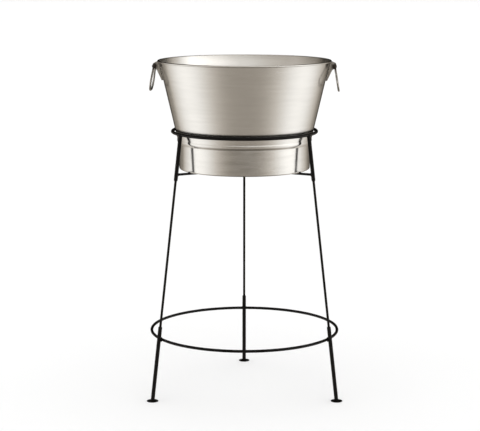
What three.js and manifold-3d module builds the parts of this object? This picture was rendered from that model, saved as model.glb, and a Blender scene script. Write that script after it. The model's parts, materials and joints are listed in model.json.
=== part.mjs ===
// Champagne bucket stand: a tall three-legged rod stand that comes apart at its leg sockets, and a
// stainless bucket that stands on three pegs inside the stand's upper hoop.
//
// Millimetres, +Z up. The floor is z = 0 and the origin is the middle of the object's footprint.
// The stand and the bucket share one vertical axis, which lies a little in front of the origin
// because the back leg reaches further than the hoops do.

import * as THREE from 'three';
import { mergeVertices } from 'three/addons/utils/BufferGeometryUtils.js';
import Module from 'manifold-3d';

const wasm = await Module();
wasm.setup();

// ---- Driving dimensions -------------------------------------------------------------------------

const GAP = 0.3; // clearance between pieces that touch

// Legs: straight, leaning inwards, spaced a third of a turn apart.
const LEG_AZIMUTHS_DEG = { left: -150, right: -30, back: 90 };
const FOOT_CIRCLE_R = 258.5; // where a leg's axis meets the floor
const LEG_SLOPE = 81 / 644; // inward lean, radius lost per height gained
const TUBE_R = 4.75;
const TUBE_BORE_R = 3.3;
const TUBE_MOUTH_TAPER = 2.5; // length of the taper at a socket's mouth
const TUBE_MOUTH_R = 4.0;
const ROD_R = 3;
const SOCKET_DEPTH = 40;
const LOWER_TUBE_TOP_Z = 183;
const UPPER_TUBE_BOTTOM_Z = 536;

const FOOT_R = 14;
const FOOT_THICKNESS = 3;

const UPPER_RING_R = 176;
const UPPER_RING_ROD_R = 4;
const UPPER_RING_Z = 646.6;
const UPPER_TUBE_TOP_Z = UPPER_RING_Z - 1.5; // the tube's end wraps the underside of the hoop

const LOWER_RING_ROD_R = 3.5;
const LOWER_RING_Z = 150.6;

const PEG_R = 3;
const PEG_INNER_R = 130; // how far in under the bucket a peg reaches
const PEG_CHAMFER = 0.8;
const PEG_Z = 551.4;

// Bucket: base band and floor, then a straight cone that starts at a round bead.
const SHEET = 1;
const TUB_TURN_DEG = -3; // the bucket stands turned a little in its hoop
const BAND_R = 160;
const BAND_BOTTOM_Z = PEG_Z + PEG_R + GAP;
const BAND_TOP_Z = 625;
const BAND_CORNER_R = 5;
const LIP_INNER_R = 149; // the band's bottom edge turns in under the floor
const FLOOR_R = 154.6;
const CONE_BOTTOM = { r: 161.4, z: 617.2 };
const CONE_TOP = { r: 207.9, z: 815.4 };
const BEAD_TOP_Z = 630.6;
const BEAD_BULGE = 2.3;
const RIM_ROLL_R = 2.3;
const RIM_OUTER_R = 212;
const RIM_TOP_Z = 820;

// Drop handles and the hinge brackets that hold them under the rim.
const PIVOT_X = 219.4;
const PIVOT_Z = 805.4;
const PIN_R = 1.6;
const PIN_HEAD_R = 3;
const PIN_HEAD_LENGTH = 1.6;
const EYE_BORE_R = 1.95;
const EYE_R = 4.4;
const EYE_WIDTH = 4.8;
const EYE_Y = 20.8;
const WIRE_R = 2.4;
const HANDLE_DROP = 59.5; // pivot to the centre of the wire at the bottom of the loop
const HANDLE_HALF_WIDTH = 35;
const HANDLE_LEAN_DEG = 9.5; // how far the resting handle stands off plumb
const LEAF_THICKNESS = 1.6;
const LEAF_BOTTOM_Z = 771;
const LEAF_CORNER_R = 5;
const BRACKET_TOP_Z = 813.8;
const EAR_THICKNESS = 2;
const EAR_Y = 17;
const EAR_NOSE_R = 4;
const EAR_NOSE_FROM_DEG = -150;
const EAR_NOSE_TO_DEG = 10;
const EAR_FOOT_Z = 774;
const EAR_TIP = { x: 221.6, z: 812 }; // the ear's outer corner, above the pin
const EAR_HORN = { x: 213, z: 816.2 }; // the ear's top corner, outside the rolled rim
const RIVET_ZS = { upper: 802, lower: 783 };
const RIVET_SHANK_R = 2;
const RIVET_HEAD_R = 3.6;
const RIVET_HEAD_HEIGHT = 1.3;

const ROUND = 60; // steps round the hoops and the bucket
const SLIM = 16; // steps round a rod or tube

// ---- Worked-out dimensions ----------------------------------------------------------------------

const legTilt = Math.atan(LEG_SLOPE);
const coneSlope = (CONE_TOP.r - CONE_BOTTOM.r) / (CONE_TOP.z - CONE_BOTTOM.z);
const coneTilt = Math.atan(coneSlope);
const sheetAcross = SHEET / Math.cos(coneTilt); // the wall's thickness measured level

const legRadius = (z) => FOOT_CIRCLE_R - LEG_SLOPE * z;
const alongLeg = (z) => z / Math.cos(legTilt);
const coneRadius = (z) => CONE_BOTTOM.r + coneSlope * (z - CONE_BOTTOM.z);

// The lower hoop lies against the inner faces of the legs.
const lowerRingR = legRadius(LOWER_RING_Z) - (TUBE_R + LOWER_RING_ROD_R + GAP) / Math.cos(legTilt);
const axisY = (lowerRingR + LOWER_RING_ROD_R - FOOT_CIRCLE_R - FOOT_R) / 2;

// ---- Materials ----------------------------------------------------------------------------------

const blackCoat = () => new THREE.MeshStandardMaterial({ color: 0x1c1917, roughness: 0.45, metalness: 0.3 });
const brushedSteel = () => new THREE.MeshStandardMaterial({ color: 0xc9c6c0, roughness: 0.34, metalness: 1 });
const plainSteel = () => new THREE.MeshStandardMaterial({ color: 0xa9a49c, roughness: 0.3, metalness: 1 });

// ---- Helpers ------------------------------------------------------------------------------------

function place(name, geometry, material, parent) {
  const mesh = new THREE.Mesh(geometry, material);
  mesh.name = name;
  parent.add(mesh);
  return mesh;
}

function nest(parent, { x = 0, y = 0, z = 0, turnY = 0, turnZ = 0 }) {
  const group = new THREE.Group();
  group.position.set(x, y, z);
  group.rotation.set(0, turnY, turnZ);
  parent.add(group);
  return group;
}

function toSolid(geometry) {
  const bare = new THREE.BufferGeometry();
  bare.setAttribute('position', geometry.getAttribute('position'));
  bare.setIndex(geometry.getIndex());
  const merged = mergeVertices(bare);
  const vertProperties = Float32Array.from(merged.getAttribute('position').array);
  const triVerts = Uint32Array.from(merged.getIndex().array);
  return new wasm.Manifold(new wasm.Mesh({ numProp: 3, vertProperties, triVerts }));
}

function toGeometry(solid) {
  const { vertProperties, triVerts } = solid.getMesh();
  const geometry = new THREE.BufferGeometry();
  geometry.setAttribute('position', new THREE.BufferAttribute(Float32Array.from(vertProperties), 3));
  geometry.setIndex(new THREE.BufferAttribute(Uint32Array.from(triVerts), 1));
  geometry.computeVertexNormals();
  return geometry;
}

// A profile of [radius, height] points, listed anticlockwise and closed on itself or on the axis,
// turned about the Z axis.
function turned(points, steps) {
  const profile = points.map(([radius, height]) => new THREE.Vector2(radius, height));
  return new THREE.LatheGeometry(profile, steps).rotateX(Math.PI / 2);
}

function closedTurned(points, steps) {
  return turned([...points, points[0]], steps);
}

// Points on an arc, angles in degrees from +radius towards +height.
function arc(centreR, centreZ, radius, fromDeg, toDeg, steps) {
  return Array.from({ length: steps + 1 }, (_, i) => {
    const angle = THREE.MathUtils.degToRad(fromDeg + ((toDeg - fromDeg) * i) / steps);
    return [centreR + radius * Math.cos(angle), centreZ + radius * Math.sin(angle)];
  });
}

function extruded(outline, depth) {
  return new THREE.ExtrudeGeometry(outline, { depth, bevelEnabled: false, curveSegments: 6 });
}

function rod(radius, from, to, steps = SLIM) {
  return turned([[0, from], [radius, from], [radius, to], [0, to]], steps);
}

// ---- Stand --------------------------------------------------------------------------------------

// A tube along Z whose socket mouth, with its taper, is at mouthZ and whose other end is at endZ.
function socketTube(mouthZ, endZ) {
  const taper = Math.sign(endZ - mouthZ) * TUBE_MOUTH_TAPER;
  const outline = [
    [TUBE_BORE_R, mouthZ],
    [TUBE_MOUTH_R, mouthZ],
    [TUBE_R, mouthZ + taper],
    [TUBE_R, endZ],
    [TUBE_BORE_R, endZ],
  ];
  return closedTurned(endZ > mouthZ ? outline : outline.reverse(), SLIM);
}

function footGeometry() {
  return turned(
    [
      [0, 0],
      [FOOT_R - 1, 0],
      [FOOT_R, 0.9],
      [FOOT_R - 0.5, 1.8],
      [FOOT_R * 0.6, FOOT_THICKNESS - 0.3],
      [FOOT_R * 0.42, FOOT_THICKNESS],
      [0, FOOT_THICKNESS],
    ],
    24,
  );
}

function upperTubeGeometry() {
  const hoop = new THREE.TorusGeometry(UPPER_RING_R, UPPER_RING_ROD_R + GAP, 16, 2 * ROUND);
  hoop.translate(-FOOT_CIRCLE_R, 0, UPPER_RING_Z).rotateY(legTilt);
  const tube = socketTube(alongLeg(UPPER_TUBE_BOTTOM_Z), alongLeg(UPPER_TUBE_TOP_Z));
  return toGeometry(toSolid(tube).subtract(toSolid(hoop)));
}

function lowerTubeGeometry() {
  const lowestCornerDrop = TUBE_R * Math.sin(legTilt);
  const bottom = alongLeg(FOOT_THICKNESS + GAP + lowestCornerDrop);
  return socketTube(alongLeg(LOWER_TUBE_TOP_Z), bottom);
}

function legRodGeometry() {
  const bottom = alongLeg(LOWER_TUBE_TOP_Z) - SOCKET_DEPTH;
  const top = alongLeg(UPPER_TUBE_BOTTOM_Z) + SOCKET_DEPTH;
  return rod(ROD_R, bottom, top);
}

// A level rod, lying along X in its leg's own frame, whose outer end is hollowed to fit the leg.
function pegGeometry() {
  const legR = legRadius(PEG_Z);
  const peg = turned(
    [
      [0, PEG_INNER_R],
      [PEG_R - PEG_CHAMFER, PEG_INNER_R],
      [PEG_R, PEG_INNER_R + PEG_CHAMFER],
      [PEG_R, legR],
      [0, legR],
    ],
    SLIM,
  ).rotateY(Math.PI / 2);
  const leg = rod(TUBE_R + GAP, -20, 20, 2 * SLIM).rotateY(-legTilt).translate(legR, 0, 0);
  return toGeometry(toSolid(peg).subtract(toSolid(leg)));
}

function buildStand(parent) {
  const upperHoop = new THREE.TorusGeometry(UPPER_RING_R, UPPER_RING_ROD_R, 12, ROUND);
  place('upper_ring', upperHoop, blackCoat(), parent).position.z = UPPER_RING_Z;
  const lowerHoop = new THREE.TorusGeometry(lowerRingR, LOWER_RING_ROD_R, 12, ROUND);
  place('lower_ring', lowerHoop, blackCoat(), parent).position.z = LOWER_RING_Z;

  for (const [side, azimuth] of Object.entries(LEG_AZIMUTHS_DEG)) {
    const spoke = nest(parent, { turnZ: THREE.MathUtils.degToRad(azimuth) });
    place(`foot_${side}`, footGeometry(), blackCoat(), spoke).position.x = FOOT_CIRCLE_R;
    place(`support_peg_${side}`, pegGeometry(), blackCoat(), spoke).position.z = PEG_Z;

    const leg = nest(spoke, { x: FOOT_CIRCLE_R, turnY: -legTilt });
    place(`lower_leg_tube_${side}`, lowerTubeGeometry(), blackCoat(), leg);
    place(`leg_rod_${side}`, legRodGeometry(), blackCoat(), leg);
    place(`upper_leg_tube_${side}`, upperTubeGeometry(), blackCoat(), leg);
  }
}

// ---- Bucket -------------------------------------------------------------------------------------

// The wall's section: a round bead at the bottom, the straight cone and the rolled rim.
function wallProfile() {
  const beadTop = [coneRadius(BEAD_TOP_Z), BEAD_TOP_Z];
  const beadSteps = 6;
  const bead = Array.from({ length: beadSteps + 1 }, (_, i) => {
    const share = i / beadSteps;
    const chordR = THREE.MathUtils.lerp(CONE_BOTTOM.r, beadTop[0], share);
    const z = THREE.MathUtils.lerp(CONE_BOTTOM.z, beadTop[1], share);
    return [chordR + BEAD_BULGE * Math.sin(Math.PI * share) ** 0.75, z];
  });
  // The roll starts where the wall's outer face meets it and ends level with the wall's inner face.
  const innerFaceDeg = 180 - THREE.MathUtils.radToDeg(coneTilt);
  const roll = arc(RIM_OUTER_R - RIM_ROLL_R, RIM_TOP_Z - RIM_ROLL_R, RIM_ROLL_R, -135, innerFaceDeg, 12);
  return [...bead, ...roll, [CONE_BOTTOM.r - sheetAcross, CONE_BOTTOM.z]];
}

// A straight-sided solid of revolution that follows the outside of the cone at a set distance.
function coneEnvelope(offset, fromZ, toZ) {
  return turned(
    [
      [0, fromZ],
      [coneRadius(fromZ) + offset, fromZ],
      [coneRadius(toZ) + offset, toZ],
      [0, toZ],
    ],
    ROUND,
  );
}

// A rod through the wall at a rivet's place, lying along the wall's outward normal.
function rivetHole(z, turn) {
  return rod(RIVET_SHANK_R + GAP, -10, 10)
    .rotateY(Math.PI / 2 + coneTilt)
    .translate(coneRadius(z), 0, z)
    .rotateZ(turn);
}

function wallGeometry() {
  let wall = toSolid(closedTurned(wallProfile(), ROUND));
  for (const turn of [0, Math.PI]) {
    for (const z of Object.values(RIVET_ZS)) {
      wall = wall.subtract(toSolid(rivetHole(z, turn)));
    }
  }
  return toGeometry(wall);
}

function bandGeometry() {
  const cornerZ = BAND_BOTTOM_Z + BAND_CORNER_R;
  const cornerR = BAND_R - BAND_CORNER_R;
  return closedTurned(
    [
      [LIP_INNER_R, BAND_BOTTOM_Z],
      ...arc(cornerR, cornerZ, BAND_CORNER_R, -90, 0, 4),
      [BAND_R, BAND_TOP_Z],
      [BAND_R - SHEET, BAND_TOP_Z],
      ...arc(cornerR, cornerZ, BAND_CORNER_R - SHEET, 0, -90, 4),
      [LIP_INNER_R, BAND_BOTTOM_Z + SHEET],
    ],
    ROUND,
  );
}

function floorGeometry() {
  const bottom = BAND_BOTTOM_Z + SHEET + GAP;
  return rod(FLOOR_R, bottom, bottom + SHEET, ROUND);
}

// ---- Handles and brackets, modelled on the +X side ----------------------------------------------

// The leaf follows the wall, and the two ears stand out from it to carry the pin and to reach up
// past the outside of the rolled rim.
function bracketGeometry() {
  const gripFromZ = LEAF_BOTTOM_Z - 10;
  const gripToZ = BRACKET_TOP_Z + 10;
  const keepOut = toSolid(coneEnvelope(GAP, gripFromZ, gripToZ));
  const skin = toSolid(coneEnvelope(GAP + LEAF_THICKNESS, gripFromZ, gripToZ)).subtract(keepOut);

  const leafOutline = new THREE.Shape();
  const leafHalfWidth = EAR_Y + EAR_THICKNESS / 2;
  const cornerY = leafHalfWidth - LEAF_CORNER_R;
  const cornerZ = LEAF_BOTTOM_Z + LEAF_CORNER_R;
  leafOutline.moveTo(leafHalfWidth, BRACKET_TOP_Z);
  leafOutline.lineTo(-leafHalfWidth, BRACKET_TOP_Z);
  leafOutline.absarc(-cornerY, cornerZ, LEAF_CORNER_R, Math.PI, 1.5 * Math.PI, false);
  leafOutline.absarc(cornerY, cornerZ, LEAF_CORNER_R, 1.5 * Math.PI, 2 * Math.PI, false);
  const leafBlock = extruded(leafOutline, PIVOT_X - CONE_BOTTOM.r);
  leafBlock.rotateX(Math.PI / 2).rotateZ(Math.PI / 2).translate(CONE_BOTTOM.r, 0, 0);
  let bracket = skin.intersect(toSolid(leafBlock));

  const wallX = coneRadius(EAR_FOOT_Z) - 4;
  const earOutline = new THREE.Shape();
  earOutline.moveTo(wallX, EAR_FOOT_Z);
  earOutline.lineTo(coneRadius(EAR_FOOT_Z) + GAP + LEAF_THICKNESS, EAR_FOOT_Z);
  const noseFrom = THREE.MathUtils.degToRad(EAR_NOSE_FROM_DEG);
  const noseTo = THREE.MathUtils.degToRad(EAR_NOSE_TO_DEG);
  earOutline.absarc(PIVOT_X, PIVOT_Z, EAR_NOSE_R, noseFrom, noseTo, false);
  earOutline.lineTo(EAR_TIP.x, EAR_TIP.z);
  earOutline.lineTo(EAR_HORN.x, EAR_HORN.z);
  earOutline.lineTo(coneRadius(BRACKET_TOP_Z) + GAP + LEAF_THICKNESS, BRACKET_TOP_Z);
  earOutline.lineTo(wallX, BRACKET_TOP_Z);
  for (const y of [-EAR_Y, EAR_Y]) {
    const ear = extruded(earOutline, EAR_THICKNESS).rotateX(Math.PI / 2);
    ear.translate(0, y + EAR_THICKNESS / 2, 0);
    bracket = bracket.add(toSolid(ear).subtract(keepOut));
  }
  const pinBore = rod(PIN_R + GAP, -30, 30).rotateX(Math.PI / 2).translate(PIVOT_X, 0, PIVOT_Z);
  bracket = bracket.subtract(toSolid(pinBore));
  for (const z of Object.values(RIVET_ZS)) {
    bracket = bracket.subtract(toSolid(rivetHole(z, 0)));
  }
  return toGeometry(bracket);
}

// Lying along Z about the pivot, with a round head at each end.
function pinGeometry() {
  const headInner = EYE_Y + EYE_WIDTH / 2 + GAP;
  const headOuter = headInner + PIN_HEAD_LENGTH;
  return turned(
    [
      [0, -headOuter],
      [PIN_HEAD_R * 0.7, -headOuter],
      [PIN_HEAD_R, -headInner - PIN_HEAD_LENGTH / 2],
      [PIN_HEAD_R, -headInner],
      [PIN_R, -headInner],
      [PIN_R, headInner],
      [PIN_HEAD_R, headInner],
      [PIN_HEAD_R, headInner + PIN_HEAD_LENGTH / 2],
      [PIN_HEAD_R * 0.7, headOuter],
      [0, headOuter],
    ],
    SLIM,
  );
}

// The wire's centre line in the handle's own frame: pivot at the origin, hanging down -Z.
function handlePath() {
  const half = [
    [EYE_Y, -EYE_BORE_R - WIRE_R / 2],
    [EYE_Y + 3, -12],
    [HANDLE_HALF_WIDTH - 4, -27],
    [HANDLE_HALF_WIDTH, -41],
    [HANDLE_HALF_WIDTH - 6, -52.5],
    [HANDLE_HALF_WIDTH - 19, -HANDLE_DROP + 0.8],
  ];
  const left = half.map(([y, z]) => new THREE.Vector3(0, -y, z));
  const right = half.map(([y, z]) => new THREE.Vector3(0, y, z)).reverse();
  return new THREE.CatmullRomCurve3([...left, new THREE.Vector3(0, 0, -HANDLE_DROP), ...right]);
}

function handleGeometry() {
  const section = new THREE.Shape();
  section.absarc(0, 0, WIRE_R, 0, 2 * Math.PI, false);
  const wire = new THREE.ExtrudeGeometry(section, { extrudePath: handlePath(), steps: 36, curveSegments: 5 });
  let handle = toSolid(wire);
  for (const y of [-EYE_Y, EYE_Y]) {
    const eye = rod(EYE_R, -EYE_WIDTH / 2, EYE_WIDTH / 2).rotateX(Math.PI / 2).translate(0, y, 0);
    handle = handle.add(toSolid(eye));
  }
  return toGeometry(handle.subtract(toSolid(rod(EYE_BORE_R, -30, 30).rotateX(Math.PI / 2))));
}

// Along X from the wall's outer face: a domed head on the leaf, the shank and a flat inner head.
function rivetGeometry() {
  const seat = GAP + LEAF_THICKNESS + GAP;
  const inner = -SHEET - GAP;
  return turned(
    [
      [0, inner - RIVET_HEAD_HEIGHT],
      [RIVET_HEAD_R * 0.8, inner - RIVET_HEAD_HEIGHT],
      [RIVET_HEAD_R, inner],
      [RIVET_SHANK_R, inner],
      [RIVET_SHANK_R, seat],
      [RIVET_HEAD_R, seat],
      [RIVET_HEAD_R * 0.85, seat + RIVET_HEAD_HEIGHT * 0.6],
      [RIVET_HEAD_R * 0.45, seat + RIVET_HEAD_HEIGHT],
      [0, seat + RIVET_HEAD_HEIGHT],
    ],
    12,
  ).rotateY(Math.PI / 2);
}

function buildSide(side, turn, parent) {
  const flank = nest(parent, { turnZ: turn });
  place(`handle_bracket_${side}`, bracketGeometry(), plainSteel(), flank);

  const pin = place(`handle_pin_${side}`, pinGeometry(), plainSteel(), flank);
  pin.position.set(PIVOT_X, 0, PIVOT_Z);
  pin.rotation.x = Math.PI / 2;

  const lean = -THREE.MathUtils.degToRad(HANDLE_LEAN_DEG);
  const hang = nest(flank, { x: PIVOT_X, z: PIVOT_Z, turnY: lean });
  place(`handle_${side}`, handleGeometry(), plainSteel(), hang);

  for (const [level, z] of Object.entries(RIVET_ZS)) {
    const seat = nest(flank, { x: coneRadius(z), z, turnY: coneTilt });
    place(`bracket_rivet_${side}_${level}`, rivetGeometry(), plainSteel(), seat);
  }
}

function buildTub(parent) {
  place('tub_wall', wallGeometry(), brushedSteel(), parent);
  place('tub_base_band', bandGeometry(), brushedSteel(), parent);
  place('tub_floor', floorGeometry(), brushedSteel(), parent);
  buildSide('right', 0, parent);
  buildSide('left', Math.PI, parent);
}

// ---- Assembly -----------------------------------------------------------------------------------

const group = new THREE.Group();
const stand = nest(group, { y: axisY });
const tub = nest(group, { y: axisY, turnZ: THREE.MathUtils.degToRad(TUB_TURN_DEG) });
buildStand(stand);
buildTub(tub);

export default group;
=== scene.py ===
"""Champagne bucket stand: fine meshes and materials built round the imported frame.

A black coated rod stand carries a brushed stainless bucket with two drop handles. Every piece takes
its place and its main sizes from the frame's nodes and joints. Shapes are worked out in millimetres
in a frame of their own (the bucket's, a leg's, a handle's) and become metres when the piece is made.
"""

import json
import math

import bpy
from mathutils import Matrix, Vector, noise
from mathutils.geometry import interpolate_bezier


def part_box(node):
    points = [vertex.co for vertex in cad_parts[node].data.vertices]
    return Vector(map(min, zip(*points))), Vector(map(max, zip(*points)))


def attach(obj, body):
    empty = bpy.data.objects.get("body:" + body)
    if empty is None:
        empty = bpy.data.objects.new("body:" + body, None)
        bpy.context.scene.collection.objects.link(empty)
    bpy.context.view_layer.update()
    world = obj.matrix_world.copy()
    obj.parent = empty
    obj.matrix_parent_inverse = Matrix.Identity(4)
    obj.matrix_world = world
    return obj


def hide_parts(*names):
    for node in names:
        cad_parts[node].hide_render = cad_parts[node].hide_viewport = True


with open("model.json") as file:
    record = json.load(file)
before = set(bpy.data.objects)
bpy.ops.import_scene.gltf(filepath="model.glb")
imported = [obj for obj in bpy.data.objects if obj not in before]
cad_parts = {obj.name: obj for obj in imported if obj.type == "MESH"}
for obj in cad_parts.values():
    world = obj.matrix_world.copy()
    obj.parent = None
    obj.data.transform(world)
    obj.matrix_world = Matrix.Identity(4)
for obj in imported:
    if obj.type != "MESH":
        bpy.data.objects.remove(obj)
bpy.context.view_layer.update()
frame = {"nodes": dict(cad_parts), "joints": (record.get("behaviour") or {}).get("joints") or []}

# ---- Camera -------------------------------------------------------------------------------------

CAMERA_DISTANCE = 3.824  # metres in front of the bucket's axis
CAMERA_HEIGHT = 1.0746
CAMERA_SIDE = -0.011
CAMERA_PITCH = math.radians(9.473)  # downwards
CAMERA_LENS = 117.7

# ---- Detail dimensions, in millimetres ------------------------------------------------------------

MM = 0.001
ROUND_STEPS = 240  # round the hoops and the bucket
ROD_STEPS = 40
SHARP_ANGLE = math.radians(35)

SHEET = 1.0
BEAD_HEIGHT = 13.4
BEAD_BULGE = 1.7
BEAD_SOFTNESS = 1.4  # above 1 the bead eases into the wall
ROLL_R = 2.3
ROLL_END = math.radians(-118)  # the rolled edge stops just short of the wall
BAND_CORNER_R = 3.6
FLOOR_STEP_R = 128  # a shallow step pressed round the floor
FLOOR_STEP_WIDTH = 4
FLOOR_STEP = 0.7

TUBE_R = 4.75
TUBE_BORE_R = 3.3
MOUTH_R = 4.0
MOUTH_TAPER = 2.5
ROD_R = 3
ROD_END_R = 0.6
PEG_R = 3
PEG_ROUNDING = 1.1
FOOT_EDGE_R = 0.8
FOOT_BOSS_R = 6.2
WELD_R = 1.3
WELD_RIPPLES = 22
WELD_RIPPLE = 0.13  # as a share of the bead's radius, like the next
WELD_WANDER = 0.35
WELD_LOOSENESS = 1.02  # how much wider than a snug fit the lower hoop's welds run

EYE_R = 4.4
EYE_BORE_R = 1.95
EYE_WIDTH = 4.8
EYE_EDGE_R = 0.6
EYE_Y = 20.8
WIRE_R = 2.4
HANDLE_DROP = 59.5
HANDLE_HALF_WIDTH = 35
HANDLE_LEAN = math.radians(9.5)  # the resting handle stands off plumb

LEAF_GAP = 0.3
BRACKET_SHEET = 1.6
BEND_R = 2.2
EAR_Y = 17
EAR_NOSE_R = 4
EAR_NOSE_FROM = math.radians(-150)
EAR_NOSE_TO = math.radians(10)
EAR_TIP = (2.2, 6.6)  # the ear's outer corner, measured out and up from the pivot
EAR_FOOT_OUT = 0.8  # how far the ears stand out past the bend at the bottom
EAR_HORN_OUT = 1  # the ear's top corner stands this far outside the rolled rim
LEAF_TOP_DROP = 2.4  # from the ear's top corner to the leaf's top edge
PIN_R = 1.6
PIN_HEAD_R = 3
PIN_HEAD_LENGTH = 1.6
PIN_HEAD_EDGE = 0.4
RIVET_SHANK_R = 2
RIVET_HEAD_R = 3.6
RIVET_HEAD_HEIGHT = 1.3

# ---- Places read from the frame, in millimetres ---------------------------------------------------


def box(node):
    low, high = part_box(node)
    return low / MM, high / MM


def centre(node):
    low, high = box(node)
    return (low + high) / 2


def level(point):
    return Vector((point.x, point.y, 0))


def distances(node):
    """How far a node's vertices lie from the bucket's axis: nearest and farthest."""
    away = [(level(v.co / MM) - AXIS_FOOT).length for v in frame["nodes"][node].data.vertices]
    return min(away), max(away)


def reach(node, place):
    """A node's lowest and highest point along the Z axis of a place."""
    inverse = place.inverted()
    heights = [(inverse @ (v.co / MM)).z for v in frame["nodes"][node].data.vertices]
    return min(heights), max(heights)


def spin(angle, axis="Z"):
    return Matrix.Rotation(angle, 4, axis)


AXIS_FOOT = level(centre("tub_wall"))
AXIS = Matrix.Translation(AXIS_FOOT)
LEG_SIDES = ("left", "right", "back")
PIVOTS = {
    joint["child"]: Vector(joint["pos_m"]) / MM for joint in frame["joints"] if "pos_m" in joint
}
ACROSS = PIVOTS["handle_right"] - PIVOTS["handle_left"]
PIVOT_X = ACROSS.length / 2
PIVOT_Z = PIVOTS["handle_left"].z
FLANKS = {"right": math.atan2(ACROSS.y, ACROSS.x), "left": math.atan2(-ACROSS.y, -ACROSS.x)}

FOOT_CIRCLE_R = (level(centre("foot_left")) - AXIS_FOOT).length
ROD_MIDDLE = centre("leg_rod_left")
LEG_LEAN = math.atan2(FOOT_CIRCLE_R - (level(ROD_MIDDLE) - AXIS_FOOT).length, ROD_MIDDLE.z)
LEG = Matrix.Translation((FOOT_CIRCLE_R, 0, 0)) @ spin(-LEG_LEAN, "Y")  # in a spoke's frame


def spoke(side):
    """A frame on the stand's axis with X towards one leg."""
    outward = level(centre(f"foot_{side}")) - AXIS_FOOT
    return AXIS @ spin(math.atan2(outward.y, outward.x))


def hoop(node):
    """Radius of a hoop's centre line, radius of its rod and its height."""
    low, high = box(node)
    rod_r = (high.z - low.z) / 2
    return distances(node)[1] - rod_r, rod_r, (high.z + low.z) / 2


# ---- Objects and camera ---------------------------------------------------------------------------


def link(name, data):
    thing = bpy.data.objects.new(name, data)
    bpy.context.scene.collection.objects.link(thing)
    return thing


def make_camera():
    lens = bpy.data.cameras.new("camera")
    lens.lens = CAMERA_LENS
    camera = link("camera", lens)
    camera.location = AXIS_FOOT * MM + Vector((CAMERA_SIDE, -CAMERA_DISTANCE, CAMERA_HEIGHT))
    camera.rotation_euler = (math.pi / 2 - CAMERA_PITCH, 0, 0)
    bpy.context.scene.camera = camera


# ---- Shader helpers -------------------------------------------------------------------------------


def add_node(tree, kind, inputs=None, **settings):
    """A shader node whose inputs are linked where a socket is given and set where a value is."""
    made = tree.nodes.new("ShaderNode" + kind)
    for key, value in settings.items():
        setattr(made, key, value)
    for key, value in (inputs or {}).items():
        if isinstance(value, bpy.types.NodeSocket):
            tree.links.new(value, made.inputs[key])
        else:
            made.inputs[key].default_value = value
    return made


def maths(tree, operation, first, second=0.0, third=0.0):
    inputs = {0: first, 1: second, 2: third}
    return add_node(tree, "Math", inputs, operation=operation).outputs[0]


def noise_of(tree, vector, scale, detail, rough=0.5):
    inputs = {"Vector": vector, "Scale": scale, "Detail": detail, "Roughness": rough}
    return add_node(tree, "TexNoise", inputs).outputs["Fac"]


def remap(tree, value, low, high, to_low, to_high):
    inputs = {"Value": value, 1: low, 2: high, 3: to_low, 4: to_high}
    return add_node(tree, "MapRange", inputs, clamp=True).outputs[0]


def blend_colours(tree, factor, first, second):
    mixed = add_node(tree, "Mix", data_type="RGBA")
    sockets = {0: factor, 6: first, 7: second}
    for index, value in sockets.items():
        if isinstance(value, bpy.types.NodeSocket):
            tree.links.new(value, mixed.inputs[index])
        else:
            mixed.inputs[index].default_value = value
    return mixed.outputs[2]


def grey(value, tint=(1, 1, 1)):
    return tuple(value * part for part in tint) + (1,)


def new_material(name):
    material = bpy.data.materials.new(name)
    material.use_nodes = True
    material.node_tree.nodes.clear()
    return material, material.node_tree


def close_material(tree, surface):
    add_node(tree, "OutputMaterial", {"Surface": surface.outputs["BSDF"]})


# ---- Studio ---------------------------------------------------------------------------------------

FLOOR_SIZE = 80
WHITE_LIGHT = 1.12  # what the floor, and the camera past its edge, sees of the studio
FRONT_LOW = 0.53  # below the horizon, in front
FRONT_LEVEL = 0.24  # at the horizon, in front
SIDE_LIGHT = 1.4  # added at both sides, below the horizon
SIDE_LIGHT_BEHIND = 0.35
UPPER_LIGHT = 1.55  # above the horizon
UPPER_TILT = 0.85  # how much brighter it is to the right
UPPER_BEHIND = 0.33  # the share of the upper light left behind the object
OVERHEAD = 0.15  # the share of it left high up
TOP_LIGHT = 0.85  # added straight overhead
UNDERFOOT = 0.25  # the share of the lower light left straight below
FAR_BEHIND = 0.1  # the share of all light left in the very back
BACKDROP_DIM = 0.85  # how much darker it is above the horizon behind the object
DIM_TINT = (1.0, 0.89, 0.75, 1)
BRIGHT_TINT = (1.0, 0.985, 0.96, 1)


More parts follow.
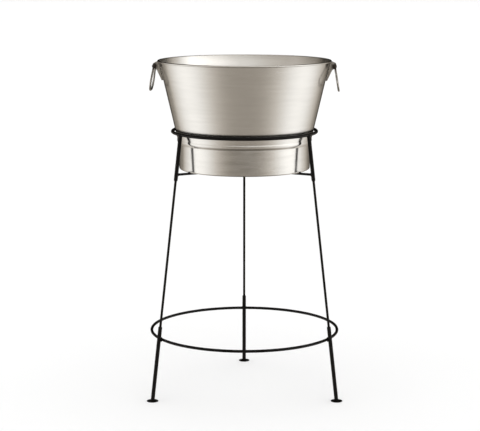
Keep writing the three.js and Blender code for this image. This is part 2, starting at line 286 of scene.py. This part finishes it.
def make_world():
    """A soft studio for the steel to mirror, and plain white light for the camera and matt things.
    The studio's strength depends on the direction: X to the right, Y to the back, Z up."""
    world = bpy.data.worlds.new("studio")
    bpy.context.scene.world = world
    world.cycles.sampling_method = "NONE"
    world.use_nodes = True
    tree = world.node_tree
    tree.nodes.clear()
    direction = add_node(tree, "TexCoord").outputs["Generated"]
    parts = add_node(tree, "SeparateXYZ", {0: direction}).outputs

    # Below the horizon: dim in front, bright at both sides, dark underfoot.
    sideways = maths(tree, "POWER", maths(tree, "ABSOLUTE", parts[0]), 3.3)
    edge = maths(tree, "MULTIPLY_ADD", parts[0], -0.06, parts[1])
    side_light = remap(tree, edge, 0.7, 0.82, SIDE_LIGHT, SIDE_LIGHT_BEHIND)
    front = remap(tree, parts[2], -0.55, -0.15, FRONT_LOW, FRONT_LEVEL)
    lower = maths(tree, "MULTIPLY_ADD", sideways, side_light, front)
    lower = maths(tree, "MULTIPLY", lower, remap(tree, parts[2], -0.9, -0.65, UNDERFOOT, 1.0))

    # Above it: a bright band with a dark gap between it and the light straight overhead.
    upper = maths(tree, "MULTIPLY_ADD", parts[0], UPPER_TILT, UPPER_LIGHT)
    upper = maths(tree, "MULTIPLY", upper, remap(tree, parts[1], -0.15, 0.35, 1.0, UPPER_BEHIND))
    overhead = remap(tree, parts[2], 0.36, 0.6, 1.0, OVERHEAD)
    top = remap(tree, parts[2], 0.74, 0.88, 0.0, TOP_LIGHT)
    upper = maths(tree, "MULTIPLY_ADD", upper, overhead, top)

    # The two together, darker towards the back.
    height = remap(tree, parts[2], 0.02, 0.25, 0.0, 1.0)
    strength = add_node(tree, "Mix", {0: height, 2: lower, 3: upper}).outputs[0]
    far = remap(tree, parts[1], 0.88, 0.97, 1.0, FAR_BEHIND)
    strength = maths(tree, "MULTIPLY", strength, far)
    behind = remap(tree, parts[1], 0.4, 0.75, 0.0, BACKDROP_DIM)
    behind = maths(tree, "MULTIPLY", behind, remap(tree, parts[2], -0.02, 0.06, 0.0, 1.0))
    strength = maths(tree, "MULTIPLY", strength, maths(tree, "SUBTRACT", 1.0, behind))

    # Dim light is warmer than bright light.
    tint_share = remap(tree, strength, 0.3, 1.3, 0.0, 1.0)
    tint = blend_colours(tree, tint_share, DIM_TINT, BRIGHT_TINT)

    studio = add_node(tree, "Background", {"Color": tint, "Strength": strength})
    white = add_node(tree, "Background", {"Color": grey(1), "Strength": WHITE_LIGHT})
    path = add_node(tree, "LightPath").outputs
    plain = maths(tree, "MAXIMUM", path["Is Camera Ray"], path["Is Diffuse Ray"])
    shown = add_node(tree, "MixShader", {0: plain, 1: studio.outputs[0], 2: white.outputs[0]})
    add_node(tree, "OutputWorld", {"Surface": shown.outputs[0]})


def floor_material():
    material, tree = new_material("pale_floor")
    place = add_node(tree, "TexCoord").outputs["Object"]
    mottle = noise_of(tree, place, 1.5, 4)
    colour = blend_colours(tree, mottle, grey(0.93), grey(0.96))
    surface = add_node(tree, "BsdfPrincipled", {"Base Color": colour, "Roughness": 0.9})
    close_material(tree, surface)
    return material


def make_floor():
    half = FLOOR_SIZE / 2
    mesh = bpy.data.meshes.new("floor")
    corners = [(-half, -half, 0), (half, -half, 0), (half, half, 0), (-half, half, 0)]
    mesh.from_pydata(corners, [], [(0, 1, 2, 3)])
    mesh.materials.append(floor_material())
    floor = link("floor", mesh)
    floor.visible_glossy = False


# ---- Materials ------------------------------------------------------------------------------------

# Painted shade round a hinge: full up to the first distance, gone by the second.
HINGE_SHADE_FROM = 5.5  # millimetres from a hinge line
HINGE_SHADE_TO = 12
WIRE_TONE = 0.7


def ring_vector(tree, along, across):
    """Coordinates that run slowly round the Z axis and fast across it, for marks left by turning."""
    place = add_node(tree, "TexCoord").outputs["Object"]
    parts = add_node(tree, "SeparateXYZ", {0: place}).outputs
    squares = [maths(tree, "MULTIPLY", part, part) for part in parts[:2]]
    radius = maths(tree, "SQRT", maths(tree, "ADD", *squares))
    safe = maths(tree, "MAXIMUM", radius, 0.001)
    x = maths(tree, "MULTIPLY", maths(tree, "DIVIDE", parts[0], safe), along)
    y = maths(tree, "MULTIPLY", maths(tree, "DIVIDE", parts[1], safe), along)
    z = maths(tree, "MULTIPLY", maths(tree, "ADD", parts[2], radius), across)
    return add_node(tree, "CombineXYZ", {0: x, 1: y, 2: z}).outputs[0]


def brushed_steel():
    """Stainless sheet with a fine grain running round the bucket, faint smudges and hairlines."""
    material, tree = new_material("brushed_steel")
    place = add_node(tree, "TexCoord").outputs["Object"]
    grain = noise_of(tree, ring_vector(tree, 5.0, 1400.0), 1.0, 4)
    streaks = noise_of(tree, ring_vector(tree, 2.0, 120.0), 1.0, 3)
    smudge = noise_of(tree, place, 14.0, 3, 0.6)
    hairline = noise_of(tree, ring_vector(tree, 14.0, 700.0), 1.0, 2)
    scratch = remap(tree, hairline, 0.74, 0.80, 0.0, 1.0)

    tone = remap(tree, streaks, 0.3, 0.7, 0.0, 1.0)
    colour = blend_colours(tree, tone, (0.61, 0.60, 0.58, 1), (0.65, 0.64, 0.62, 1))
    colour = blend_colours(tree, maths(tree, "MULTIPLY", scratch, 0.3), colour, grey(0.8))
    rough = remap(tree, streaks, 0.25, 0.75, 0.19, 0.24)
    rough = maths(tree, "ADD", rough, remap(tree, smudge, 0.45, 0.75, 0.0, 0.05))
    height = maths(tree, "ADD", grain, maths(tree, "MULTIPLY", scratch, -0.6))
    bump = add_node(tree, "Bump", {"Height": height, "Strength": 0.07, "Distance": 0.00004})
    tangent = add_node(tree, "Tangent", direction_type="RADIAL", axis="Z")
    surface = add_node(
        tree,
        "BsdfPrincipled",
        {
            "Base Color": colour,
            "Roughness": rough,
            "Metallic": 1.0,
            "Anisotropic": 0.75,
            "Anisotropic Rotation": 0.25,
            "Normal": bump.outputs[0],
            "Tangent": tangent.outputs[0],
        },
    )
    close_material(tree, surface)
    return material


def handle_steel(name, hinge, tone):
    """Smooth stainless with fine polishing marks, darkened round a hinge line along Y by painted shade.
    tone dims its colour, as on wire that hands have dulled."""
    material, tree = new_material(name)
    place = add_node(tree, "TexCoord").outputs["Object"]
    stretched = add_node(tree, "Mapping", {0: place, "Scale": (3.0, 3.0, 0.4)}).outputs[0]
    polish = noise_of(tree, stretched, 700.0, 2)
    wear = noise_of(tree, place, 120.0, 4, 0.6)
    # Painted shade: the colour goes dark near the hinge line, as if the hinge's recess lay in shadow,
    # and the steel gets a little rougher there.
    offset = add_node(tree, "VectorMath", {0: place, 1: hinge * MM}, operation="SUBTRACT")
    upright = {0: offset.outputs[0], 1: (1, 0, 1)}
    across = add_node(tree, "VectorMath", upright, operation="MULTIPLY").outputs[0]
    away = add_node(tree, "VectorMath", {0: across}, operation="LENGTH").outputs["Value"]
    ragged = maths(tree, "ADD", away, remap(tree, wear, 0.3, 0.7, -0.0015, 0.0015))
    hinge_shade = remap(tree, ragged, HINGE_SHADE_FROM * MM, HINGE_SHADE_TO * MM, 1.0, 0.0)

    dull, bright = grey(tone, (0.50, 0.48, 0.455)), grey(tone, (0.60, 0.585, 0.56))
    colour = blend_colours(tree, wear, dull, bright)
    # The dark colour of the painted shade near the hinge.
    colour = blend_colours(tree, hinge_shade, colour, (0.055, 0.048, 0.042, 1))
    rough = maths(tree, "MULTIPLY_ADD", hinge_shade, 0.15, remap(tree, wear, 0.3, 0.7, 0.2, 0.3))
    bump = add_node(tree, "Bump", {"Height": polish, "Strength": 0.05, "Distance": 0.00003})
    surface = add_node(
        tree,
        "BsdfPrincipled",
        {"Base Color": colour, "Roughness": rough, "Metallic": 1.0, "Normal": bump.outputs[0]},
    )
    close_material(tree, surface)
    return material


def black_coat(name, scuffs):
    """Satin powder coat with its fine orange peel; scuffs is how much rubbed, dusty wear shows."""
    material, tree = new_material(name)
    place = add_node(tree, "TexCoord").outputs["Object"]
    peel = noise_of(tree, place, 1300.0, 2)
    cloud = noise_of(tree, place, 60.0, 3)
    rub = noise_of(tree, place, 420.0, 5, 0.7)
    worn = maths(tree, "MULTIPLY", remap(tree, rub, 0.58, 0.7, 0.0, 1.0), scuffs)
    colour = blend_colours(tree, cloud, (0.0016, 0.0012, 0.0010, 1), (0.0034, 0.0026, 0.0022, 1))
    colour = blend_colours(tree, worn, colour, (0.05, 0.046, 0.042, 1))
    rough = maths(tree, "MULTIPLY_ADD", worn, 0.2, remap(tree, cloud, 0.3, 0.7, 0.30, 0.40))
    bump = add_node(tree, "Bump", {"Height": peel, "Strength": 0.25, "Distance": 0.00008})
    surface = add_node(
        tree,
        "BsdfPrincipled",
        {
            "Base Color": colour,
            "Roughness": rough,
            "Specular IOR Level": 0.12,
            "Normal": bump.outputs[0],
        },
    )
    close_material(tree, surface)
    return material


# ---- Mesh helpers, in millimetres -----------------------------------------------------------------


def make_piece(name, shape, place, material, slot, body, *nodes):
    """A mesh object from (vertices, faces) in a place's frame, riding on a body for its CAD nodes."""
    vertices, faces = shape
    mesh = bpy.data.meshes.new(name)
    mesh.from_pydata([Vector(v) * MM for v in vertices], [], faces)
    mesh.materials.append(material)
    mesh.shade_smooth()
    mesh.set_sharp_from_angle(angle=SHARP_ANGLE)
    piece = link(name, mesh)
    piece.matrix_world = Matrix.Translation(place.translation * MM) @ place.to_3x3().to_4x4()
    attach(piece, body)
    if nodes:
        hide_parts(*nodes)
    return piece


def circle(steps):
    angles = [2 * math.pi * i / steps for i in range(steps)]
    return [(math.cos(angle), math.sin(angle)) for angle in angles]


def skin(rows, closed):
    """Faces between neighbouring rows of vertex numbers; a row on the axis repeats one number."""
    faces = []
    pairs = list(zip(rows, rows[1:]))
    if closed:
        pairs.append((rows[-1], rows[0]))
    for low, high in pairs:
        for j in range(len(low)):
            k = (j + 1) % len(low)
            corners = list(dict.fromkeys((low[j], low[k], high[k], high[j])))
            if len(corners) > 2:
                faces.append(corners)
    return faces


def turned(section, steps):
    """A section of [radius, height] points, listed anticlockwise, turned about Z."""
    vertices = []
    rows = []
    for radius, height in section:
        start = len(vertices)
        if radius < 1e-6:
            vertices.append(Vector((0, 0, height)))
            rows.append([start] * steps)
        else:
            vertices += [Vector((radius * x, radius * y, height)) for x, y in circle(steps)]
            rows.append(list(range(start, start + steps)))
    return vertices, skin(rows, closed=True)


def arc(centre_r, centre_z, radius, start, end, steps):
    turns = [start + (end - start) * i / steps for i in range(steps + 1)]
    return [(centre_r + radius * math.cos(a), centre_z + radius * math.sin(a)) for a in turns]


def round_bar(radius, low, high, rounding):
    """The section of a bar along Z whose two ends are rounded over."""
    bottom = arc(radius - rounding, low + rounding, rounding, -math.pi / 2, 0, 5)
    top = arc(radius - rounding, high - rounding, rounding, 0, math.pi / 2, 5)
    return [(0, low)] + bottom + top + [(0, high)]


def sheet(line, thickness, open_start=False):
    """The section of sheet metal along a centre line, with rounded edges. The line's right-hand
    side is the outside. A line that starts on the axis has no edge there."""
    points = [Vector(p) for p in line]
    half = thickness / 2
    outer = []
    inner = []
    for i, point in enumerate(points):
        along = (points[min(i + 1, len(points) - 1)] - points[max(i - 1, 0)]).normalized()
        right = Vector((along.y, -along.x))
        outer.append(point + right * half)
        inner.append(point - right * half)

    def edge(start, end):
        middle = (start + end) / 2
        return [middle + Matrix.Rotation(math.pi * k / 5, 2) @ (start - middle) for k in range(1, 5)]

    section = outer + edge(outer[-1], inner[-1]) + inner[::-1]
    if not open_start:
        section += edge(inner[0], outer[0])
    return [tuple(point) for point in section]


def sweep(path, radius, sides, closed=False, toward=None):
    """Round wire along a path. radius is a function of the share of the way along it."""
    count = len(path)
    middle = sum(path, Vector()) / count
    vertices = []
    rows = []
    for i, point in enumerate(path):
        before = path[i - 1] if closed or i else point
        after = path[(i + 1) % count] if closed or i < count - 1 else point
        along = (after - before).normalized()
        side = toward or point - middle
        normal = (side - along * side.dot(along)).normalized()
        binormal = along.cross(normal)
        r = radius(i / count)
        rows.append(list(range(len(vertices), len(vertices) + sides)))
        vertices += [point + r * (x * normal + y * binormal) for x, y in circle(sides)]
    faces = skin(rows, closed)
    if not closed:
        faces += [rows[0][::-1], rows[-1]]
    return vertices, faces


def smooth_path(points, steps):
    """A smooth curve through the points, with the given steps between each two."""
    path = []
    for i in range(len(points) - 1):
        start, end = points[i], points[i + 1]
        before = points[max(i - 1, 0)]
        after = points[min(i + 2, len(points) - 1)]
        first = start + (end - before) / 6
        second = end - (after - start) / 6
        path += interpolate_bezier(start, first, second, end, steps + 1)[:-1]
    return path + [points[-1]]


def joined(*shapes):
    vertices = []
    faces = []
    for shape_vertices, shape_faces in shapes:
        shift = len(vertices)
        vertices += shape_vertices
        faces += [[index + shift for index in face] for face in shape_faces]
    return vertices, faces


def moved(shape, matrix):
    vertices, faces = shape
    return [matrix @ Vector(v) for v in vertices], faces


def where_inside(start, direction, inside, low, high):
    """The point on a ray where a surface starts, found by halving."""
    for _ in range(24):
        half = (low + high) / 2
        if inside(start + direction * half):
            high = half
        else:
            low = half
    return start + direction * low


# ---- Stand ----------------------------------------------------------------------------------------

UPPER_HOOP = hoop("upper_ring")
LOWER_HOOP = hoop("lower_ring")
LEG_FOOT = LEG.translation
LEG_ALONG = LEG.to_3x3() @ Vector((0, 0, 1))


def in_upper_hoop(point):
    ring_r, rod_r, height = UPPER_HOOP
    return math.hypot(math.hypot(point.x, point.y) - ring_r, point.z - height) < rod_r


def in_leg(point):
    offset = point - LEG_FOOT
    return (offset - LEG_ALONG * offset.dot(LEG_ALONG)).length < TUBE_R


def make_hoop(node, coat):
    ring_r, rod_r, height = hoop(node)
    section = [(ring_r + rod_r * x, height + rod_r * y) for x, y in circle(ROD_STEPS // 2)]
    make_piece(f"{node}_rod", turned(section, ROUND_STEPS), AXIS, coat, "black_coat", "stand", node)


def weld(name, path, place, coat):
    """A ripple-surfaced bead laid along a closed path."""

    def radius(share):
        ripple = WELD_RIPPLE * math.cos(2 * math.pi * WELD_RIPPLES * share)
        drift = noise.noise(Vector((7 * share, len(name), 0.5))) * math.sin(math.pi * share)
        return WELD_R * (1 + ripple + WELD_WANDER * drift)

    make_piece(name, sweep(path, radius, 12, closed=True), place, coat, "black_coat", "stand")


def tube_section(mouth, end):
    """The section of a socket tube: rounded mouth, taper, and a square far end."""
    way = math.copysign(1, end - mouth)
    lip = (MOUTH_R - TUBE_BORE_R) / 2
    middle_r = (MOUTH_R + TUBE_BORE_R) / 2
    section = []
    for i in range(5):
        angle = math.pi * i / 4
        section.append((middle_r - lip * math.cos(angle), mouth + way * lip * (1 - math.sin(angle))))
    for share in (0.15, 0.35, 0.6, 0.85, 1):
        radius = MOUTH_R + (TUBE_R - MOUTH_R) * share**0.6
        section.append((radius, mouth + way * (lip + MOUTH_TAPER * share)))
    section += [(TUBE_R, end), (TUBE_BORE_R, end)]
    return section if way > 0 else section[::-1]


def make_upper_tube(side, coat):
    node = f"upper_leg_tube_{side}"
    place = spoke(side)
    low, high = reach(node, place @ LEG)
    vertices, faces = turned(tube_section(low, high), ROD_STEPS)
    seam = []
    for vertex in vertices:
        if vertex.z > high - 1:
            start = LEG @ Vector((vertex.x, vertex.y, 0))
            hit = where_inside(start, LEG_ALONG, in_upper_hoop, low, high)
            vertex.z = (LEG.inverted() @ hit).z
            if math.hypot(vertex.x, vertex.y) > TUBE_R - 0.1:
                seam.append(hit)
    make_piece(f"{node}_sleeve", (vertices, faces), place @ LEG, coat, "black_coat", "stand", node)
    weld(f"hoop_weld_{side}", seam, place, coat)


def make_lower_tube(side, coat):
    node = f"lower_leg_tube_{side}"
    place = spoke(side)
    low, high = reach(node, place @ LEG)
    shape = turned(tube_section(high, low), ROD_STEPS)
    make_piece(f"{node}_sleeve", shape, place @ LEG, coat, "black_coat", "stand", node)
    foot_top = box(f"foot_{side}")[1].z
    ring = [LEG @ Vector((TUBE_R * x, TUBE_R * y, 0)) for x, y in circle(ROD_STEPS)]
    seam = [point + LEG_ALONG * ((foot_top - point.z) / LEG_ALONG.z) for point in ring]
    weld(f"foot_weld_{side}", seam, place, coat)


def make_leg_rod(side, coat):
    node = f"leg_rod_{side}"
    place = spoke(side) @ LEG
    low, high = reach(node, place)
    shape = turned(round_bar(ROD_R, low, high, ROD_END_R), ROD_STEPS)
    make_piece(f"{node}_bar", shape, place, coat, "black_coat", "stand", node)


def make_peg(side, coat):
    node = f"support_peg_{side}"
    height = centre(node).z
    place = spoke(side)
    out = place @ Matrix.Translation((0, 0, height)) @ spin(math.pi / 2, "Y")
    low, high = reach(node, out)
    nose = arc(PEG_R - PEG_ROUNDING, low + PEG_ROUNDING, PEG_ROUNDING, -math.pi / 2, 0, 6)
    section = [(0, low)] + nose + [(PEG_R, high), (0, high)]
    vertices, faces = turned(section, ROD_STEPS)
    to_spoke = place.inverted() @ out
    seam = []
    for vertex in vertices:
        if vertex.z > high - 0.01:
            start = to_spoke @ Vector((vertex.x, vertex.y, 0))
            hit = where_inside(start, Vector((1, 0, 0)), in_leg, low, high + 1)
            vertex.z = hit.x
            if math.hypot(vertex.x, vertex.y) > PEG_R - 0.1:
                seam.append(hit)
    make_piece(f"{node}_bar", (vertices, faces), out, coat, "black_coat", "stand", node)
    weld(f"peg_weld_{side}", seam, place, coat)


def make_ring_weld(side, coat):
    """The bead round the spot where the lower hoop lies against a leg. It runs where the gap
    between the two round rods is about as wide as the bead."""
    ring_r, rod_r, height = LOWER_HOOP
    outward = LEG.to_3x3() @ Vector((1, 0, 0))
    touch = Vector((ring_r, 0, height)) + outward * rod_r
    half_length = WELD_LOOSENESS * math.sqrt(2 * TUBE_R * 2 * WELD_R)
    half_height = WELD_LOOSENESS * math.sqrt(2 * rod_r * 2 * WELD_R)
    seam = []
    for x, y in circle(ROD_STEPS):
        u = half_length * x
        v = half_height * y
        depth = u * u / (4 * TUBE_R) - v * v / (4 * rod_r)
        seam.append(touch + Vector((0, u, 0)) + LEG_ALONG * v + outward * depth)
    weld(f"ring_weld_{side}", seam, spoke(side), coat)


def make_foot(side, coat):
    node = f"foot_{side}"
    low, high = box(node)
    edge_r = (high.x - low.x) / 2
    top = high.z
    rim = arc(edge_r - FOOT_EDGE_R, FOOT_EDGE_R, FOOT_EDGE_R, -math.pi / 2, math.pi / 3, 6)
    dome_r, dome_z = rim[-1]
    dome = []
    for i in range(1, 9):
        share = i / 8
        ease = math.sin(share * math.pi / 2)
        dome.append((dome_r + (FOOT_BOSS_R - dome_r) * share, dome_z + (top - dome_z) * ease))
    shape = turned([(0, 0)] + rim + dome + [(0, top)], 72)
    place = Matrix.Translation(level(centre(node)))
    make_piece(f"{node}_pad", shape, place, coat, "black_coat", "stand", node)


def make_stand():
    coat = black_coat("black_coat", 0.25)
    worn_coat = black_coat("black_coat_worn", 0.8)
    make_hoop("upper_ring", coat)
    make_hoop("lower_ring", coat)
    for side in LEG_SIDES:
        make_upper_tube(side, worn_coat)
        make_lower_tube(side, worn_coat)
        make_leg_rod(side, coat)
        make_peg(side, coat)
        make_ring_weld(side, coat)
        make_foot(side, worn_coat)


# ---- Bucket ---------------------------------------------------------------------------------------

TUB = AXIS @ spin(FLANKS["right"])
WALL_LOW, WALL_HIGH = box("tub_wall")
WALL_INNER_R, RIM_R = distances("tub_wall")
WALL_FOOT = Vector((WALL_INNER_R + SHEET / 2, WALL_LOW.z))
CURL_MIDDLE = Vector((RIM_R - ROLL_R, WALL_HIGH.z - ROLL_R))
CURL_R = ROLL_R - SHEET / 2
CURL_AWAY = CURL_MIDDLE - WALL_FOOT
# The wall's line runs from its foot to touch the curl's circle on the inside.
CONE_TILT = math.atan2(CURL_AWAY.x, CURL_AWAY.y) - math.asin(CURL_R / CURL_AWAY.length)


def cone_r(height):
    """Radius of the wall's outer face."""
    return WALL_FOOT.x + (height - WALL_FOOT.y) * math.tan(CONE_TILT) + SHEET / 2 / math.cos(CONE_TILT)


def wall_line():
    """From the bead at the bottom, up the cone and round the rolled rim."""
    bead = []
    for i in range(29):
        share = i / 28
        rise = BEAD_HEIGHT * share
        bulge = BEAD_BULGE * math.sin(math.pi * share) ** BEAD_SOFTNESS
        bead.append((WALL_FOOT.x + rise * math.tan(CONE_TILT) + bulge, WALL_FOOT.y + rise))
    start = math.pi - CONE_TILT
    roll = arc(*CURL_MIDDLE, CURL_R, start, ROLL_END, 22)
    foot, top = Vector(bead[-1]), Vector(roll[0])
    cone = [tuple(foot.lerp(top, share / 12)) for share in range(1, 12)]
    return bead + cone + roll


def band_line():
    low, high = box("tub_base_band")
    inner_r, outer_r = distances("tub_base_band")
    middle_r = outer_r - SHEET / 2
    bottom = low.z + SHEET / 2
    corner = arc(middle_r - BAND_CORNER_R, bottom + BAND_CORNER_R, BAND_CORNER_R, -math.pi / 2, 0, 10)
    lip = [(inner_r + SHEET / 2, bottom)]
    side_from = corner[-1][1]
    rise = high.z - SHEET / 2 - side_from
    side = [(middle_r, side_from + rise * i / 6) for i in range(1, 7)]
    return lip + corner + side


def floor_line():
    low, high = box("tub_floor")
    outer_r = distances("tub_floor")[1] - SHEET / 2
    height = (low.z + high.z) / 2
    line = [(0, height), (FLOOR_STEP_R / 2, height)]
    for share in (0, 0.2, 0.4, 0.6, 0.8, 1):
        ease = 3 * share**2 - 2 * share**3
        line.append((FLOOR_STEP_R + FLOOR_STEP_WIDTH * share, height - FLOOR_STEP * ease))
    return line + [(outer_r, height - FLOOR_STEP)]


def make_tub(steel):
    parts = {
        "tub_wall": sheet(wall_line(), SHEET),
        "tub_base_band": sheet(band_line(), SHEET),
        "tub_floor": sheet(floor_line(), SHEET, open_start=True),
    }
    for node, section in parts.items():
        shape = turned(section, ROUND_STEPS)
        make_piece(f"{node}_sheet", shape, TUB, steel, "brushed_steel", "tub", node)


# ---- Handles and brackets -------------------------------------------------------------------------


def flank(side):
    """The bucket's frame turned so that X points to one handle."""
    return AXIS @ spin(FLANKS[side])


def handle_path():
    """The wire's centre line, hanging from the pivot at the origin."""
    half = [
        (EYE_Y, -EYE_BORE_R - WIRE_R / 2),
        (EYE_Y + 3, -12),
        (HANDLE_HALF_WIDTH - 4, -27),
        (HANDLE_HALF_WIDTH, -41),
        (HANDLE_HALF_WIDTH - 6, -52.5),
        (HANDLE_HALF_WIDTH - 19, -HANDLE_DROP + 0.8),
    ]
    left = [Vector((0, -y, z)) for y, z in half]
    right = [Vector((0, y, z)) for y, z in reversed(half)]
    return smooth_path(left + [Vector((0, 0, -HANDLE_DROP))] + right, 8)


def make_handle(side, steel):
    node = f"handle_{side}"
    pivot = Matrix.Translation((PIVOT_X, 0, PIVOT_Z))
    place = flank(side) @ pivot @ spin(-HANDLE_LEAN, "Y")
    half = EYE_WIDTH / 2
    outside = [
        *arc(EYE_R - EYE_EDGE_R, -half + EYE_EDGE_R, EYE_EDGE_R, -math.pi / 2, 0, 4),
        *arc(EYE_R - EYE_EDGE_R, half - EYE_EDGE_R, EYE_EDGE_R, 0, math.pi / 2, 4),
    ]
    eye = turned(outside + [(EYE_BORE_R, half), (EYE_BORE_R, -half)], ROD_STEPS)
    eyes = [moved(eye, Matrix.Translation((0, y, 0)) @ spin(math.pi / 2, "X")) for y in (-EYE_Y, EYE_Y)]
    wire = sweep(handle_path(), lambda share: WIRE_R, 24, toward=Vector((1, 0, 0)))
    shape = joined(wire, *eyes)
    make_piece(f"{node}_wire", shape, place, steel, "handle_steel", node, node)


def ear_edge(foot, horn):
    """The free edge of an ear as (x, z): a slope, a nose about the pin, the tip and the horn."""
    nose = arc(PIVOT_X, PIVOT_Z, EAR_NOSE_R, EAR_NOSE_FROM, EAR_NOSE_TO, 14)
    slope = [Vector(foot).lerp(Vector(nose[0]), i / 10) for i in range(10)]
    tip = Vector((PIVOT_X + EAR_TIP[0], PIVOT_Z + EAR_TIP[1]))
    front = [Vector(nose[-1]).lerp(tip, i / 3) for i in range(1, 4)]
    top = [tip.lerp(Vector(horn), i / 5) for i in range(1, 6)]
    return slope + [Vector(point) for point in nose] + front + top


def leaf_radius(height):
    return cone_r(height) + LEAF_GAP + BRACKET_SHEET / 2


def on_leaf(y, height):
    """A point of the leaf's middle surface, which lies along the cone."""
    return Vector((math.sqrt(leaf_radius(height) ** 2 - y * y), y, height))


def channel_row(height, tip):
    """The bent sheet's middle line: ear, bend, leaf, bend, ear, starting and ending at the tip."""
    inner_y = EAR_Y - BEND_R
    side = []
    bend_x = on_leaf(inner_y, height).x + BEND_R
    for i in range(9):
        share = i / 8
        side.append(Vector((tip.x + (bend_x - tip.x) * share, EAR_Y, tip.y + (height - tip.y) * share)))
    for i in range(1, 7):
        angle = math.pi / 2 * i / 6
        turn = Vector((-math.sin(angle), math.cos(angle) - 1, 0))
        side.append(Vector((bend_x, EAR_Y, height)) + BEND_R * turn)
    leaf = [on_leaf(inner_y * (1 - i / 7), height) for i in range(1, 14)]
    return side + leaf + [Vector((p.x, -p.y, p.z)) for p in reversed(side)]


def make_bracket(side, steel):
    node = f"handle_bracket_{side}"
    low, high = box(node)
    foot = (on_leaf(EAR_Y, low.z).x + BEND_R + EAR_FOOT_OUT, low.z)
    edge = ear_edge(foot, (RIM_R + EAR_HORN_OUT, high.z))
    rise = (high.z - LEAF_TOP_DROP - low.z) / (len(edge) - 1)
    rows = [channel_row(low.z + rise * i, tip) for i, tip in enumerate(edge)]
    width = len(rows[0])
    vertices = [vertex for row in rows for vertex in row]
    faces = []
    for i in range(len(rows) - 1):
        for j in range(width - 1):
            corner = i * width + j
            faces.append([corner, corner + width, corner + width + 1, corner + 1])
    piece = make_piece(
        f"{node}_channel", (vertices, faces), flank(side), steel, "handle_steel", "tub", node
    )
    thicken = piece.modifiers.new("sheet", "SOLIDIFY")
    thicken.thickness = BRACKET_SHEET * MM
    thicken.offset = 0
    soften = piece.modifiers.new("edges", "BEVEL")
    soften.width = 0.25 * MM
    soften.segments = 2
    soften.limit_method = "ANGLE"
    soften.angle_limit = math.radians(50)


def make_pin(side, steel):
    node = f"handle_pin_{side}"
    inner = EYE_Y + EYE_WIDTH / 2 + LEAF_GAP
    outer = inner + PIN_HEAD_LENGTH
    dome_z = inner + PIN_HEAD_EDGE
    dome = []
    for i in range(7):
        angle = math.pi / 2 * i / 6
        dome.append((PIN_HEAD_R * math.cos(angle), dome_z + (outer - dome_z) * math.sin(angle)))
    upper = [(PIN_R, inner), (PIN_HEAD_R, inner)] + dome
    lower = [(r, -z) for r, z in reversed(upper)]
    place = flank(side) @ Matrix.Translation((PIVOT_X, 0, PIVOT_Z))
    shape = moved(turned(lower + upper, ROD_STEPS), spin(math.pi / 2, "X"))
    make_piece(f"{node}_rod", shape, place, steel, "handle_steel", "tub", node)


def make_rivet(side, name, steel):
    node = f"bracket_rivet_{side}_{name}"
    middle = centre(node)
    on_wall = Matrix.Translation((cone_r(middle.z), 0, middle.z))
    place = flank(side) @ on_wall @ spin(CONE_TILT + math.pi / 2, "Y")
    seat = 2 * LEAF_GAP + BRACKET_SHEET
    inner = -SHEET - LEAF_GAP
    head = []
    for i in range(9):
        angle = math.pi / 2 * i / 8
        head.append((RIVET_HEAD_R * math.cos(angle), seat + RIVET_HEAD_HEIGHT * math.sin(angle)))
    tail = [(0, inner - RIVET_HEAD_HEIGHT)]
    for i in range(1, 7):
        angle = math.pi / 2 * i / 6
        radius = RIVET_HEAD_R * math.sin(angle) ** 0.6
        tail.append((radius, inner - RIVET_HEAD_HEIGHT * math.cos(angle)))
    section = tail + [(RIVET_SHANK_R, inner), (RIVET_SHANK_R, seat)] + head
    make_piece(f"{node}_head", turned(section, ROD_STEPS), place, steel, "handle_steel", "tub", node)


def make_sides():
    """Both handles with their brackets, pins and rivets. A steel is told where its hinge line runs
    in the piece's own frame, and painted shade darkens it round that line; the rivets' is put out of
    reach, so that they get no painted shade and stay bright."""
    hinge_steel = handle_steel("hinge_steel", Vector((PIVOT_X, 0, PIVOT_Z)), 1)
    wire_steel = handle_steel("wire_steel", Vector((0, 0, 0)), WIRE_TONE)
    rivet_steel = handle_steel("rivet_steel", Vector((-2 * HINGE_SHADE_TO, 0, 0)), 1)
    for side in FLANKS:
        make_bracket(side, hinge_steel)
        make_handle(side, wire_steel)
        make_pin(side, wire_steel)
        for name in ("upper", "lower"):
            make_rivet(side, name, rivet_steel)


# ---- Scene ----------------------------------------------------------------------------------------

bpy.context.scene.view_settings.view_transform = "Standard"
make_camera()
make_world()
make_floor()
make_stand()
make_tub(brushed_steel())
make_sides()
